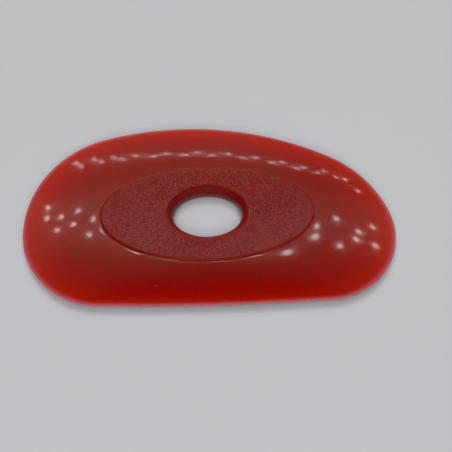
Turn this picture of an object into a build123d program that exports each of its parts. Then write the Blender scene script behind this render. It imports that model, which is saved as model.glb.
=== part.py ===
from build123d import *
import os
from math import atan2, cos, pi, radians, sin, tan

# A flexible pottery rib: one soft casting with a bowed working edge, a crowned blade, a raised oval grip pad
# on each face and an oval finger hole. +X runs along the tool towards its narrow toe, +Y from the working
# edge to the back, +Z up. The origin is the middle of the lower grip pad, on the surface the tool rests on.

# Thicknesses: over the two pads, of the blade beside them, and at the outline
thickness = 6.35
blade_thickness = 5.3
edge_thickness = 1.5

# Bevel that breaks the outline on both faces: how far it reaches in and how far it drops
bevel_reach = 0.35
bevel_drop = 0.3

# Radii of the outline, anticlockwise from the toe
toe_radius = 22.3
shoulder_radius = 38.5
back_radius = 104.0
heel_radius = 25.7

# Centre of the toe's arc, seen from the middle of the finger hole
toe_centre_x = 38.2
toe_centre_y = -7.8

# Grip pads, and the flank that climbs to them from a narrow level land
pad_length = 68.4
pad_width = 32.4
flank_run = 0.8
land_width = 0.2

# Finger hole at its narrowest, and the rounding of its rims
hole_length = 22.2
hole_width = 15.1
hole_rounding = 3.0

# Directions of the outward normal, in degrees, at which one arc of the outline hands over to the next
toe_start_angle = -87.4
toe_end_angle = 19.2
shoulder_end_angle = 62.4
back_end_angle = 104.5
crest_end_angle = 180.2
heel_end_angle = 267.3
edge_end_angle = toe_start_angle + 360

# Where the crown's level lines lie on the way from the outline to the pad, and how much of its fall from the
# pad is even. The rest grows towards the outline.
crown_shares = (0.0, 0.2, 0.4, 0.6, 0.8, 1.0)
even_share = 0.4


def facing(angle):
    """Unit vector along an outward normal."""
    return Vector(cos(radians(angle)), sin(radians(angle)))


# The chain of arcs closes when its chords add up to nothing. That gives the two radii that are left: the
# crest, between back and heel, and the slow bow of the working edge.
chords = (
    (facing(toe_end_angle) - facing(toe_start_angle)) * toe_radius
    + (facing(shoulder_end_angle) - facing(toe_end_angle)) * shoulder_radius
    + (facing(back_end_angle) - facing(shoulder_end_angle)) * back_radius
    + (facing(heel_end_angle) - facing(crest_end_angle)) * heel_radius
)
crest_chord = facing(crest_end_angle) - facing(back_end_angle)
edge_chord = facing(edge_end_angle) - facing(heel_end_angle)
cross = crest_chord.X * edge_chord.Y - crest_chord.Y * edge_chord.X
crest_radius = (edge_chord.X * chords.Y - edge_chord.Y * chords.X) / cross
edge_radius = (crest_chord.Y * chords.X - crest_chord.X * chords.Y) / cross

# Each arc as its centre, its radius and the directions of its normal at both ends
arcs = []
centre = Vector(toe_centre_x, toe_centre_y)
for radius, start, end in (
    (toe_radius, toe_start_angle, toe_end_angle),
    (shoulder_radius, toe_end_angle, shoulder_end_angle),
    (back_radius, shoulder_end_angle, back_end_angle),
    (crest_radius, back_end_angle, crest_end_angle),
    (heel_radius, crest_end_angle, heel_end_angle),
    (edge_radius, heel_end_angle, edge_end_angle),
):
    if arcs:
        centre = centre + facing(start) * (arcs[-1][1] - radius)
    arcs.append((centre, radius, start, end))

# Heights of the upper half, and the oval rim at which the crown ends, outside the pad's flank and land
mid_height = thickness / 2
crown_start = mid_height + edge_thickness / 2
blade_top = mid_height + blade_thickness / 2
rim_reach_x = pad_length / 2 + flank_run + land_width
rim_reach_y = pad_width / 2 + flank_run + land_width


def oval_curve(centre, reach_x, reach_y, start, end):
    """Control points of a cubic curve along an oval, between two directions of its outward normal."""
    turns = [atan2(reach_y * sin(radians(a)), reach_x * cos(radians(a))) for a in (start, end)]
    stretch = 4 / 3 * tan((turns[1] - turns[0]) % (2 * pi) / 4)
    first, last = [centre + Vector(reach_x * cos(turn), reach_y * sin(turn)) for turn in turns]
    lead, trail = [Vector(-reach_x * sin(turn), reach_y * cos(turn)) * stretch for turn in turns]
    return first, first + lead, last - trail, last


def draw_crown_line(share):
    """A level line of the blade, part of the way from the foot of the crown to the rim of the pad."""
    for centre, radius, start, end in arcs:
        foot = radius - bevel_reach
        if share == 0:
            CenterArc(centre, foot, start, end - start)
            continue
        outer = oval_curve(centre, foot, foot, start, end)
        inner = oval_curve(Vector(), rim_reach_x, rim_reach_y, start, end)
        Bezier(*[p * (1 - share) + q * share for p, q in zip(outer, inner)])


with BuildPart() as rib:
    # The core of the upper half, as wide as the foot of the crown
    with BuildSketch(Plane.XY.offset(mid_height)):
        with BuildLine():
            draw_crown_line(0)
        make_face()
    extrude(amount=crown_start - mid_height)

    # The edge round it: a small profile, upright and then bevelled, turned about the centre of each arc
    for centre, radius, start, end in arcs:
        middle = Vector(centre.X, centre.Y, mid_height)
        with BuildSketch(Plane(origin=middle, x_dir=facing(start), z_dir=facing(start - 90))):
            with BuildLine():
                Polyline(
                    (radius - bevel_reach, 0),
                    (radius, 0),
                    (radius, crown_start - mid_height - bevel_drop),
                    (radius - bevel_reach, crown_start - mid_height),
                    close=True,
                )
            make_face()
        revolve(axis=Axis(middle, (0, 0, 1)), revolution_arc=end - start)

    # Upper crown: it falls from the pad's rim along a parabola that is already a little tilted there
    for share in crown_shares:
        way_out = 1 - share
        fall = even_share * way_out + (1 - even_share) * way_out**2
        rise = (blade_top - crown_start) * (1 - fall)
        with BuildSketch(Plane.XY.offset(crown_start + rise)):
            with BuildLine():
                draw_crown_line(share)
            make_face()
    loft()

    # The raised grip pad on its sloping flank
    with BuildSketch(Plane.XY.offset(blade_top)):
        Ellipse(pad_length / 2 + flank_run, pad_width / 2 + flank_run)
    with BuildSketch(Plane.XY.offset(thickness)):
        Ellipse(pad_length / 2, pad_width / 2)
    loft()

    # The lower half is the same
    mirror(about=Plane.XY.offset(mid_height))

    # Finger hole with a wall that is round nearly all the way through
    with BuildSketch():
        Ellipse(hole_length / 2, hole_width / 2)
    extrude(amount=thickness, mode=Mode.SUBTRACT)
    fillet(rib.edges(Select.LAST).filter_by(GeomType.ELLIPSE), radius=hole_rounding)

rib.part.label = "rib"
rib.part.color = Color(0.62, 0.05, 0.04)
os.makedirs("parts", exist_ok=True)
export_step(rib.part, "parts/rib.step")

box = rib.part.bounding_box().size
print(f"crest radius {crest_radius:.1f} mm, working edge radius {edge_radius:.0f} mm")
print(f"rib {box.X:.1f} x {box.Y:.1f} x {box.Z:.2f} mm, {rib.part.volume / 1000:.1f} ml")
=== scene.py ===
import bpy
import numpy as np
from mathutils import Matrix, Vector


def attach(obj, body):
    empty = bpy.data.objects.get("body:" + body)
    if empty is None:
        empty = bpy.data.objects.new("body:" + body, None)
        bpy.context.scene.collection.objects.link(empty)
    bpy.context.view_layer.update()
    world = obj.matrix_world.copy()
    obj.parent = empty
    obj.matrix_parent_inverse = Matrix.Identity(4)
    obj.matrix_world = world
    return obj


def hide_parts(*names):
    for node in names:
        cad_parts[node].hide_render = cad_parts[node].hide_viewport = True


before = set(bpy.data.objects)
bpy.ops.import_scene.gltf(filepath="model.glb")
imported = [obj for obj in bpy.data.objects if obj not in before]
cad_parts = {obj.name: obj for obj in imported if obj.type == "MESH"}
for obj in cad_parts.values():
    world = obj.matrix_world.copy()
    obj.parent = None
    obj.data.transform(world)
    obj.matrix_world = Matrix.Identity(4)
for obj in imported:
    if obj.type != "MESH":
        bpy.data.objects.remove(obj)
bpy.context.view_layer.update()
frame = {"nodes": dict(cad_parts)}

scene = bpy.context.scene
scene.view_settings.view_transform = "Standard"
print("frame loaded:", ", ".join(frame["nodes"]))

millimetre = 0.001

# The rib's casting. Lengths in millimetres, directions in degrees: +X towards the toe, +Y towards the back.
casting = dict(
    thickness=6.35, bladeThickness=5.3, edgeThickness=1.5,
    edgeInset=0.35, edgeRounding=0.42, crownSlope=10.0, evenFall=0.4,
    # outline, anticlockwise from the toe: radii (None is worked out) and where one arc hands over to another
    radii=(22.3, 38.5, 104.0, None, 25.7, None),
    handovers=(-87.4, 19.2, 62.4, 104.5, 180.2, 267.3, 272.6),
    toeCentre=(38.2, -7.8),
    padReach=(34.2, 16.2), padCorner=0.2, cornerDrop=0.05, coveRadius=0.9, rimReach=(35.2, 17.2),
    holeReach=(11.1, 7.55), holeRounding=3.0,
    columns=470, wallRings=2, lipRings=12, padRings=52, coveRings=10, crownRings=24, edgeRings=6,
    coveStart=0.04, coveCrowding=1.3,  # the cove's rings start past the pad's corner and lie closer there
    # grain of the pads: size and depth of a pebble. Its relief fades out within grainFade of both rims, and
    # its tone, the painted glints, within toneFade of the outer one.
    grainSize=0.9, grainDepth=0.018, grainFade=1.2, toneFade=0.5, seed=11,
    lipGrain=(0.80, 0.12),  # share of the lip at which its tone starts, with its painted glints and, at the back, the end of its painted shade, and the share over which it comes in
    # how deep the body is, for its colour: the hole's wall, the pads, the cove, and the blade at its thickest.
    # The hole's wall is set deepest, to paint shade into it. On the blade it falls with the height over the
    # middle plane, which counts as at least the thinnest.
    wallShade=1.0, padDepth=0.9, coveDepth=0.80, bladeDepth=0.78, thinnest=0.1,
    wallSatin=2.0, padSatin=1.0,  # how dull the hole's wall and the pads are, where the blade is 0
)


def facing(degrees):
    # unit vectors at the given directions
    turn = np.radians(degrees)
    return np.stack([np.cos(turn), np.sin(turn)], -1)


def chainOfArcs(c):
    # Tangent arcs close when their chords add up to nothing, which gives the two radii that are left.
    # Each next centre lies back along the shared normal by the difference of the two radii.
    start, end = facing(c["handovers"][:-1]), facing(c["handovers"][1:])
    radii = np.array([r or 0.0 for r in c["radii"]])
    unknown = [k for k, r in enumerate(c["radii"]) if r is None]
    chord = end - start
    known = (chord * radii[:, None]).sum(0)
    radii[unknown] = np.linalg.solve(chord[unknown].T, -known)
    step = start[1:] * (radii[:-1] - radii[1:])[:, None]
    centres = np.array(c["toeCentre"]) + np.vstack([[0, 0], np.cumsum(step, 0)])
    return centres, radii


def walkOutline(c):
    # Even steps along the chain of arcs. Inside an arc the direction of the normal runs evenly with the
    # length, and so does the turn on the cove's oval rim, which has the arc's normals at the arc's ends.
    centres, radii = chainOfArcs(c)
    handovers = np.array(c["handovers"])
    length = np.concatenate([[0], np.cumsum(radii * np.radians(np.diff(handovers)))])
    station = np.arange(c["columns"]) / c["columns"] * length[-1]
    arc = np.searchsorted(length, station, side="right") - 1
    normal = facing(np.interp(station, length, handovers))
    a, b = c["rimReach"]
    ends = facing(handovers)
    turn = np.interp(station, length, np.unwrap(np.arctan2(b * ends[:, 1], a * ends[:, 0])))
    return centres[arc], radii[arc], normal, turn


def oval(reach, turn):
    # reach times cosine and sine of the turn
    return np.stack([reach[0] * np.cos(turn), reach[1] * np.sin(turn)], -1)


def pebbles(x, y, size, seed):
    # Leather-like grain, from 0 on a pebble's top to 1 in a valley: the square of the distance to the nearest
    # middle, over the distance at which a valley is full. Each square cell has one middle at a random place.
    cells = 128
    valley = 0.75 * size
    jitter = np.random.default_rng(seed).random((cells, cells, 2))
    cx, cy = np.floor(x / size).astype(int), np.floor(y / size).astype(int)
    near = np.full(x.shape, np.inf)
    for i in (-1, 0, 1):
        for j in (-1, 0, 1):
            p = jitter[(cx + i) % cells, (cy + j) % cells]
            away = np.hypot((cx + i + p[..., 0]) * size - x, (cy + j + p[..., 1]) * size - y)
            near = np.minimum(near, away)
    return np.clip(near / valley, 0, 1) ** 2


def castingSection(c):
    # The upper half as rings from the middle of the hole's wall out to the middle of the outline: wall, lip,
    # pad, cove, crown, rounded edge. Returns the points, and for each of them how deep the body is, with
    # painted shade in the hole, how much of the pad's grain and painted glints it has and how satin it is.
    centres, radii, normal, turn = walkOutline(c)
    mid = c["thickness"] / 2
    bladeTop = mid + c["bladeThickness"] / 2
    crownFoot = mid + c["edgeThickness"] / 2
    rings, depth, grain, satin = [], [], [], []

    def addRing(flat, z, howDeep, howGrained=0.0, howSatin=0.0):
        rings.append(np.column_stack([flat, np.broadcast_to(z, len(flat))]))
        for kept, value in ((depth, howDeep), (grain, howGrained), (satin, howSatin)):
            kept.append(np.broadcast_to(value, len(flat)).astype(float))

    # hole wall, then a quarter round whose offset grows by radius times one minus cosine
    wall = oval(c["holeReach"], turn)
    out = np.stack([np.cos(turn) / c["holeReach"][0], np.sin(turn) / c["holeReach"][1]], -1)
    out /= np.linalg.norm(out, axis=1)[:, None]
    lip = c["holeRounding"]
    # painted shade: the hole's wall takes the darkest colour
    for s in np.linspace(0, 1, c["wallRings"], endpoint=False):
        addRing(wall, mid + s * (mid - lip), c["wallShade"], 0.0, c["wallSatin"])
    # painted shade: at the back the lip stays deep red nearly up to the pad, in front it pales evenly on the
    # way there
    front = (1 - np.sin(turn)) / 2
    grainStart, grainRise = c["lipGrain"]
    for s in np.linspace(0, 1, c["lipRings"], endpoint=False):
        bend = s * np.pi / 2
        flat, z = wall + out * lip * (1 - np.cos(bend)), c["thickness"] - lip * (1 - np.sin(bend))
        atPad = np.clip((s - grainStart) / grainRise, 0, 1)
        paled = s * front + atPad * (1 - front)
        howDeep = c["wallShade"] + (c["padDepth"] - c["wallShade"]) * paled
        addRing(flat, z, howDeep, atPad, c["wallSatin"] + (c["padSatin"] - c["wallSatin"]) * s)

    # pad: straight from the lip to the pad's corner, its grain pressed inwards only
    inner, corner = wall + out * lip, oval(c["padReach"], turn)
    toCorner = corner - inner
    way = np.linalg.norm(toCorner, axis=1)
    inset = c["padCorner"] / way
    for s in np.linspace(0, 1, c["padRings"]):
        share = s * (1 - inset)
        flat = inner + toCorner * share[:, None]
        fromRim = np.minimum(share, 1 - share) * way
        fade = np.clip(fromRim / c["grainFade"], 0, 1)
        fade = fade * fade * (3 - 2 * fade)
        dent = pebbles(flat[:, 0], flat[:, 1], c["grainSize"], c["seed"]) * c["grainDepth"] * fade
        howGrained = np.clip((1 - share) * way / c["toneFade"], 0, 1)
        addRing(flat, c["thickness"] - dent, c["padDepth"], howGrained, c["padSatin"])

    # cove: a hollow arc that is level where it meets the land, after the pad's small rounded corner
    rim = oval(c["rimReach"], turn)
    span = np.linalg.norm(rim - corner, axis=1)
    r = c["coveRadius"]
    rise = c["thickness"] - bladeTop
    run = np.sqrt(r * r - (r - rise) ** 2)
    for s in np.linspace(c["coveStart"], 1, c["coveRings"], endpoint=False) ** c["coveCrowding"]:
        height = bladeTop + r - np.sqrt(r * r - np.clip(run - s * span, 0, None) ** 2)
        height = np.minimum(height, c["thickness"] - c["cornerDrop"])
        addRing(corner + (rim - corner) * s, height, c["coveDepth"] + (c["bladeDepth"] - c["coveDepth"]) * s)

    # crown: share of the way from the rim to the outline. It falls evenly at first and then along a parabola.
    depthPerRise = c["bladeDepth"] / (bladeTop - mid)
    foot = centres + normal * (radii - c["edgeInset"])[:, None]
    for s in np.linspace(0, 1, c["crownRings"], endpoint=False):
        fall = c["evenFall"] * s + (1 - c["evenFall"]) * s * s
        z = crownFoot + (bladeTop - crownFoot) * (1 - fall)
        addRing(rim + (foot - rim) * s, z, depthPerRise * (z - mid))

    # rounded edge: part of a circle from the crown's slope to upright
    bend = np.radians(np.linspace(c["crownSlope"], 90, c["edgeRings"]))
    e = c["edgeRounding"]
    for turnDown in bend:
        flat = centres + normal * (radii - e + e * np.sin(turnDown))[:, None]
        z = crownFoot - e * np.cos(bend[0]) + e * np.cos(turnDown)
        addRing(flat, z, depthPerRise * max(z - mid, c["thinnest"]))
    return np.array(rings), dict(depthAndShade=np.array(depth), padGrainAndGlints=np.array(grain), satin=np.array(satin))


def closedGrid(name, rings, values):
    # Rings by columns, closed both ways: ring after ring, each face between two rings and two columns.
    nr, nc = rings.shape[:2]
    i, j = np.meshgrid(np.arange(nr), np.arange(nc), indexing="ij")
    ni, nj = (i + 1) % nr, (j + 1) % nc
    faces = np.stack([i * nc + j, ni * nc + j, ni * nc + nj, i * nc + nj], -1).reshape(-1, 4)
    mesh = bpy.data.meshes.new(name)
    mesh.vertices.add(nr * nc)
    mesh.vertices.foreach_set("co", (rings * millimetre).astype(np.float32).ravel())
    mesh.loops.add(faces.size)
    mesh.loops.foreach_set("vertex_index", faces.ravel().astype(np.int32))
    mesh.polygons.add(len(faces))
    mesh.polygons.foreach_set("loop_start", np.arange(0, faces.size, 4, dtype=np.int32))
    mesh.update(calc_edges=True)
    mesh.validate()
    mesh.shade_smooth()
    for key, value in values.items():
        layer = mesh.attributes.new(key, "FLOAT", "POINT")
        layer.data.foreach_set("value", value.astype(np.float32).ravel())
    piece = bpy.data.objects.new(name, mesh)
    scene.collection.objects.link(piece)
    return piece


def makeCasting(c):
    # the lower half is the upper one seen in the middle plane, walked back from the outline to the hole
    upper, values = castingSection(c)
    lower = upper[-1:0:-1].copy()
    lower[..., 2] = c["thickness"] - lower[..., 2]
    rings = np.concatenate([upper, lower])
    values = {key: np.concatenate([value, value[-1:0:-1]]) for key, value in values.items()}
    return closedGrid("ribCasting", rings, values)


ribCasting = makeCasting(casting)
print("casting:", len(ribCasting.data.polygons), "faces")


def spread(tree, value, fromSpan, toSpan=(0.0, 1.0)):
    # a value carried evenly from one span to another, and held at its ends
    node = tree.nodes.new("ShaderNodeMapRange")
    node.inputs["From Min"].default_value, node.inputs["From Max"].default_value = fromSpan
    node.inputs["To Min"].default_value, node.inputs["To Max"].default_value = toSpan
    tree.links.new(value, node.inputs["Value"])
    return node


def combine(tree, operation, first, second):
    # two numbers made one, where the second may be a fixed one
    node = tree.nodes.new("ShaderNodeMath")
    node.operation = operation
    tree.links.new(first, node.inputs[0])
    if isinstance(second, float):
        node.inputs[1].default_value = second
    else:
        tree.links.new(second, node.inputs[1])
    return node.outputs["Value"]


def colourAlong(tree, value, stopList):
    # a colour read off a row of stops, each a position and a colour
    node = tree.nodes.new("ShaderNodeValToRGB")
    stops = node.color_ramp.elements
    stops[0].position, stops[0].color = stopList[0]
    stops[1].position, stops[1].color = stopList[-1]
    for position, colour in stopList[1:-1]:
        stops.new(position).color = colour
    tree.links.new(value, node.inputs["Fac"])
    return node.outputs["Color"]


def addScaled(tree, share, scale, base):
    # a colour, plus another colour times a share
    node = tree.nodes.new("ShaderNodeVectorMath")
    node.operation = "MULTIPLY_ADD"
    tree.links.new(share, node.inputs[0])
    node.inputs[1].default_value = scale
    tree.links.new(base, node.inputs[2])
    return node.outputs["Vector"]


def mixShaders(tree, share, first, second):
    # two shaders mixed, with the given share of the second
    node = tree.nodes.new("ShaderNodeMixShader")
    for socket, source in zip(node.inputs, (share, first, second)):
        tree.links.new(source, socket)
    return node.outputs["Shader"]


# The soft red see-through rubber
rubber = dict(
    # colours by how deep the body is, with painted light and shade at some stops
    colours=(
        (0.12, (0.47, 0.155, 0.195, 1)), (0.222, (0.46, 0.105, 0.13, 1)),  # the pale see-through rim: the thin rubber's own paler colour plus painted glow of light through it
        (0.242, (0.44, 0.050, 0.055, 1)), (0.264, (0.42, 0.016, 0.008, 1)),
        (0.29, (0.40, 0.009, 0.002, 1)), (0.34, (0.37, 0.007, 0.001, 1)),  # the bright band inside it, partly the thin rubber's colour, partly painted glow of light through it
        (0.48, (0.31, 0.0035, 0.0006, 1)), (0.60, (0.265, 0.0035, 0.0006, 1)),
        (0.80, (0.215, 0.0035, 0.0006, 1)),  # the thick of the blade
        (0.88, (0.262, 0.006, 0.003, 1)), (0.935, (0.255, 0.006, 0.003, 1)),  # the pads, lifted with painted sheen
        (0.955, (0.155, 0.001, 0.0007, 1)),  # the hole's wall, darkened with painted shade
    ),
    mottleScale=700, mottleSpan=(0.3, 0.7), mottling=(0.95, 1.05),
    # painted light: the body is made lighter towards the back
    frontToBack=(-0.03, 0.03), paintedBackLight=(0.91, 1.13),
    dustScale=160, dustSize=0.02, dustShare=0.25, dustTone=(0.5, 0.5, 0.5),
    ior=1.5, smoothSkin=0.056, wallSkin=0.75, haze=0.42, hazeRoughness=0.12,
    scatter=1.0, scatterReach=(4.0, 0.5, 0.4), scatterScale=millimetre,
    # fine grain: cells to the metre, relief in metres, painted glint tone from a cell's middle to its rim, and
    # its tint
    grainScale=2500, grainLift=0.0003, grainRim=0.55, grainTones=(0.122, -0.043), grainTint=(2.0, 1.0, 0.92),
)


def softRedRubber(r):
    # Colour: the stops by depth, times the clouds and the painted light towards the back, plus painted glints
    # on the tops of the grain, plus dust. Gloss: smooth on the blade, satin on the pads, dull in the hole,
    # under a haze.
    mat = bpy.data.materials.new("softRedRubber")
    mat.use_nodes = True
    tree = mat.node_tree
    nodes, links = tree.nodes, tree.links
    place = nodes.new("ShaderNodeTexCoord").outputs["Object"]
    skin = nodes["Principled BSDF"]
    for socket, value in (
        ("IOR", r["ior"]),
        ("Subsurface Weight", r["scatter"]),
        ("Subsurface Radius", r["scatterReach"]),
        ("Subsurface Scale", r["scatterScale"]),
        ("Coat Weight", r["haze"]),
        ("Coat Roughness", r["hazeRoughness"]),
    ):
        skin.inputs[socket].default_value = value

    def attribute(name):
        node = nodes.new("ShaderNodeAttribute")
        node.attribute_name = name
        return node.outputs["Fac"]

    def pattern(kind, scale):
        node = nodes.new(kind)
        node.inputs["Scale"].default_value = scale
        links.new(place, node.inputs["Vector"])
        return node.outputs

    grain = attribute("padGrainAndGlints")
    pebble = pattern("ShaderNodeTexVoronoi", r["grainScale"])["Distance"]

    # colour deepens with the thickness of the body, with painted glow, sheen and shade at some stops
    byDepth = colourAlong(tree, attribute("depthAndShade"), r["colours"])

    # the body is never quite evenly coloured, and painted light makes it a little lighter towards the back
    cloud = pattern("ShaderNodeTexNoise", r["mottleScale"])["Fac"]
    uneven = spread(tree, cloud, r["mottleSpan"], r["mottling"]).outputs["Result"]
    split = nodes.new("ShaderNodeSeparateXYZ")
    links.new(place, split.inputs["Vector"])
    paintedLight = spread(tree, split.outputs["Y"], r["frontToBack"], r["paintedBackLight"]).outputs["Result"]
    tinted = nodes.new("ShaderNodeVectorMath")
    tinted.operation = "SCALE"
    links.new(byDepth, tinted.inputs[0])
    links.new(combine(tree, "MULTIPLY", uneven, paintedLight), tinted.inputs["Scale"])

    # painted glints: the tops of the grain are paler than its valleys
    tone = spread(tree, pebble, (0.0, r["grainRim"]), r["grainTones"]).outputs["Result"]
    onPad = combine(tree, "MULTIPLY", tone, grain)
    withPaintedGlints = addScaled(tree, onPad, r["grainTint"], tinted.outputs["Vector"])

    # specks of pale clay dust: the middles of a few of the cells
    dust = pattern("ShaderNodeTexVoronoi", r["dustScale"])
    speck = combine(tree, "LESS_THAN", dust["Distance"], r["dustSize"])
    chosen = combine(tree, "LESS_THAN", dust["Color"], r["dustShare"])
    few = combine(tree, "MULTIPLY", speck, chosen)
    links.new(addScaled(tree, few, r["dustTone"], withPaintedGlints), skin.inputs["Base Color"])

    # the pads and the lip of the hole are satin, the blade is smooth
    gloss = spread(tree, attribute("satin"), (0.0, casting["wallSatin"]), (r["smoothSkin"], r["wallSkin"]))
    links.new(gloss.outputs["Result"], skin.inputs["Roughness"])

    # fine relief of the grain, high in the middle of each pebble
    bump = nodes.new("ShaderNodeBump")
    bump.invert = True
    bump.inputs["Distance"].default_value = r["grainLift"]
    links.new(combine(tree, "MULTIPLY", pebble, grain), bump.inputs["Height"])
    links.new(bump.outputs["Normal"], skin.inputs["Normal"])
    return mat


ribCasting.data.materials.append(softRedRubber(rubber))
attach(ribCasting, "root")
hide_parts("rib")
print("rubber: done")

# Floor: a wide pale table top, and the plain tone that the camera sees far out on it and beyond
table = dict(reach=3.0, colour=(0.533, 0.535, 0.574, 1), roughness=0.6, fade=(0.14, 0.5))
backdropTone = (0.515, 0.515, 0.54, 1)


def makeTable(t):
    # a flat square that turns into the backdrop with the distance from its middle, for the camera alone
    r = t["reach"]
    mesh = bpy.data.meshes.new("tableTop")
    mesh.from_pydata([(-r, -r, 0), (r, -r, 0), (r, r, 0), (-r, r, 0)], [], [(0, 1, 2, 3)])
    top = bpy.data.objects.new("tableTop", mesh)
    scene.collection.objects.link(top)
    mat = bpy.data.materials.new("paleTable")
    mat.use_nodes = True
    mat.cycles.emission_sampling = "NONE"  # the plain tone lights nothing
    tree = mat.node_tree
    nodes, links = tree.nodes, tree.links
    skin = nodes["Principled BSDF"]
    skin.inputs["Base Color"].default_value = t["colour"]
    skin.inputs["Roughness"].default_value = t["roughness"]
    distance = nodes.new("ShaderNodeVectorMath")
    distance.operation = "LENGTH"
    links.new(nodes.new("ShaderNodeTexCoord").outputs["Object"], distance.inputs[0])
    far = spread(tree, distance.outputs["Value"], t["fade"])
    far.interpolation_type = "SMOOTHSTEP"
    isSeen = nodes.new("ShaderNodeLightPath").outputs["Is Camera Ray"]
    seenFar = combine(tree, "MULTIPLY", far.outputs["Result"], isSeen)
    plain = nodes.new("ShaderNodeEmission")
    plain.inputs["Color"].default_value = backdropTone
    surface = mixShaders(tree, seenFar, skin.outputs["BSDF"], plain.outputs["Emission"])
    links.new(surface, nodes["Material Output"].inputs["Surface"])
    mesh.materials.append(mat)


makeTable(table)
print("table: done")

# Soft light: broad lamps that no gloss shows, and rows of small lamps that the glossy blade does show.
softLamps = [
    dict(name="softTop", place=(0.0, -0.75, 1.3), size=(1.5, 1.5), power=16.2),
    dict(name="softBack", place=(0.0, 0.45, 1.45), size=(0.9, 0.9), power=8.4),
]
# Places in a row are slopes: sideways distance over height, seen from the rib.
ceilingLamps = dict(
    height=1.5, stray=(0.006, 0.010), seed=4, bendFrom=0.35,
    rows=(
        dict(slope=0.446, turn=-0.147, bow=0.380, bend=0.0, first=-0.447, spacing=0.0715, count=13,
             zigzag=0.016, size=(0.025, 0.025), power=0.023),
        dict(slope=0.359, turn=-0.138, bow=0.510, bend=0.0, first=-0.434, spacing=0.0627, count=14,
             zigzag=0.016, size=(0.025, 0.025), power=0.023),
        dict(slope=0.861, turn=0.0, bow=0.0, bend=9.0, first=-0.382, spacing=0.0365, count=24,
             zigzag=0.021, size=(0.017, 0.036), power=0.020),
    ),
)


def addLamp(name, place, size, power, inGloss):
    # an oval lamp that faces the rib
    light = bpy.data.lights.new(name, "AREA")
    light.shape = "ELLIPSE"
    light.size, light.size_y = size
    light.energy = power
    lamp = bpy.data.objects.new(name, light)
    lamp.location = place
    lamp.rotation_euler = Vector(place).to_track_quat("Z", "Y").to_euler()
    lamp.visible_glossy = inGloss
    scene.collection.objects.link(lamp)


def hangRows(c):
    # Lamps in even steps x to the right. Their y is slope, plus turn times x, plus bow times x squared, less
    # bend times the square of how far x is past bendFrom, plus a zigzag and a small stray.
    rng = np.random.default_rng(c["seed"])
    h = c["height"]
    for n, row in enumerate(c["rows"]):
        for k in range(row["count"]):
            strayX, strayY = rng.uniform(-1, 1, 2) * c["stray"]
            x = row["first"] + k * row["spacing"] + strayX
            bent = max(x - c["bendFrom"], 0.0)
            y = row["slope"] + row["turn"] * x + row["bow"] * x * x - row["bend"] * bent * bent
            y += row["zigzag"] * (-1) ** k + strayY
            addLamp(f"ceilingLamp{n}_{k}", (x * h, y * h, h), row["size"], row["power"], True)


for lamp in softLamps:
    addLamp(lamp["name"], lamp["place"], lamp["size"], lamp["power"], False)
hangRows(ceilingLamps)

# The room round the rib: its colour, and its brightness as stops along Y and X, from 0 at -1 to 1 at +1
air = dict(
    tint=(1.0, 0.97, 0.80, 1),
    towardsBack=((0.0, 0.35), (0.2, 0.3), (0.35, 0.06), (0.45, 0.0), (0.52, 0.0), (0.56, 0.04), (0.6, 0.09),
                 (0.638, 0.20), (0.665, 0.37), (0.70, 0.55), (0.745, 0.55), (0.775, 0.31), (1.0, 0.36)),
    towardsRight=((0.0, 0.15), (0.26, 0.2), (0.33, 0.8), (0.42, 1.0), (0.54, 1.0), (0.60, 0.65), (1.0, 0.6)),
)


def studioAir(a):
    # A pale, slightly warm room: dim overhead, with a bright strip towards the back, and darker to the left.
    # Brightness is the stop along Y times the stop along X. The camera sees the plain backdrop in its place.
    world = bpy.data.worlds.new("studioAir")
    scene.world = world
    world.use_nodes = True
    tree = world.node_tree
    nodes, links = tree.nodes, tree.links
    split = nodes.new("ShaderNodeSeparateXYZ")
    links.new(nodes.new("ShaderNodeTexCoord").outputs["Generated"], split.inputs["Vector"])

    def glowAlong(axis, stopList):
        place = spread(tree, split.outputs[axis], (-1.0, 1.0)).outputs["Result"]
        return colourAlong(tree, place, [(at, (value, value, value, 1)) for at, value in stopList])

    glow = combine(tree, "MULTIPLY", glowAlong("Y", a["towardsBack"]), glowAlong("X", a["towardsRight"]))
    room = nodes["Background"]
    room.inputs["Color"].default_value = a["tint"]
    links.new(glow, room.inputs["Strength"])
    backdrop = nodes.new("ShaderNodeBackground")
    backdrop.inputs["Color"].default_value = backdropTone
    isSeen = nodes.new("ShaderNodeLightPath").outputs["Is Camera Ray"]
    shown = mixShaders(tree, isSeen, room.outputs["Background"], backdrop.outputs["Background"])
    links.new(shown, nodes["World Output"].inputs["Surface"])


studioAir(air)
print("light: done")

# Camera: 65 degrees above the table, 33 cm away. Lengths in metres, but the sensor's width in millimetres.
view = dict(
    aim=(0.00594, -0.00210, 0.0), away=(-0.0135, -0.4224, 0.9063), distance=0.330,
    focalPixels=1008, imagePixels=452, sensorWidth=36.0, nearest=0.01,
)


def placeCamera(v):
    # the lens is as long, in sensor widths, as the photo's focal length is in picture widths
    data = bpy.data.cameras.new("photoCamera")
    data.sensor_width = v["sensorWidth"]
    data.lens = data.sensor_width * v["focalPixels"] / v["imagePixels"]
    data.clip_start = v["nearest"]
    camera = bpy.data.objects.new("photoCamera", data)
    away = Vector(v["away"]).normalized()
    camera.location = Vector(v["aim"]) + away * v["distance"]
    camera.rotation_euler = away.to_track_quat("Z", "Y").to_euler()
    scene.collection.objects.link(camera)
    scene.camera = camera


placeCamera(view)
print("camera: done")
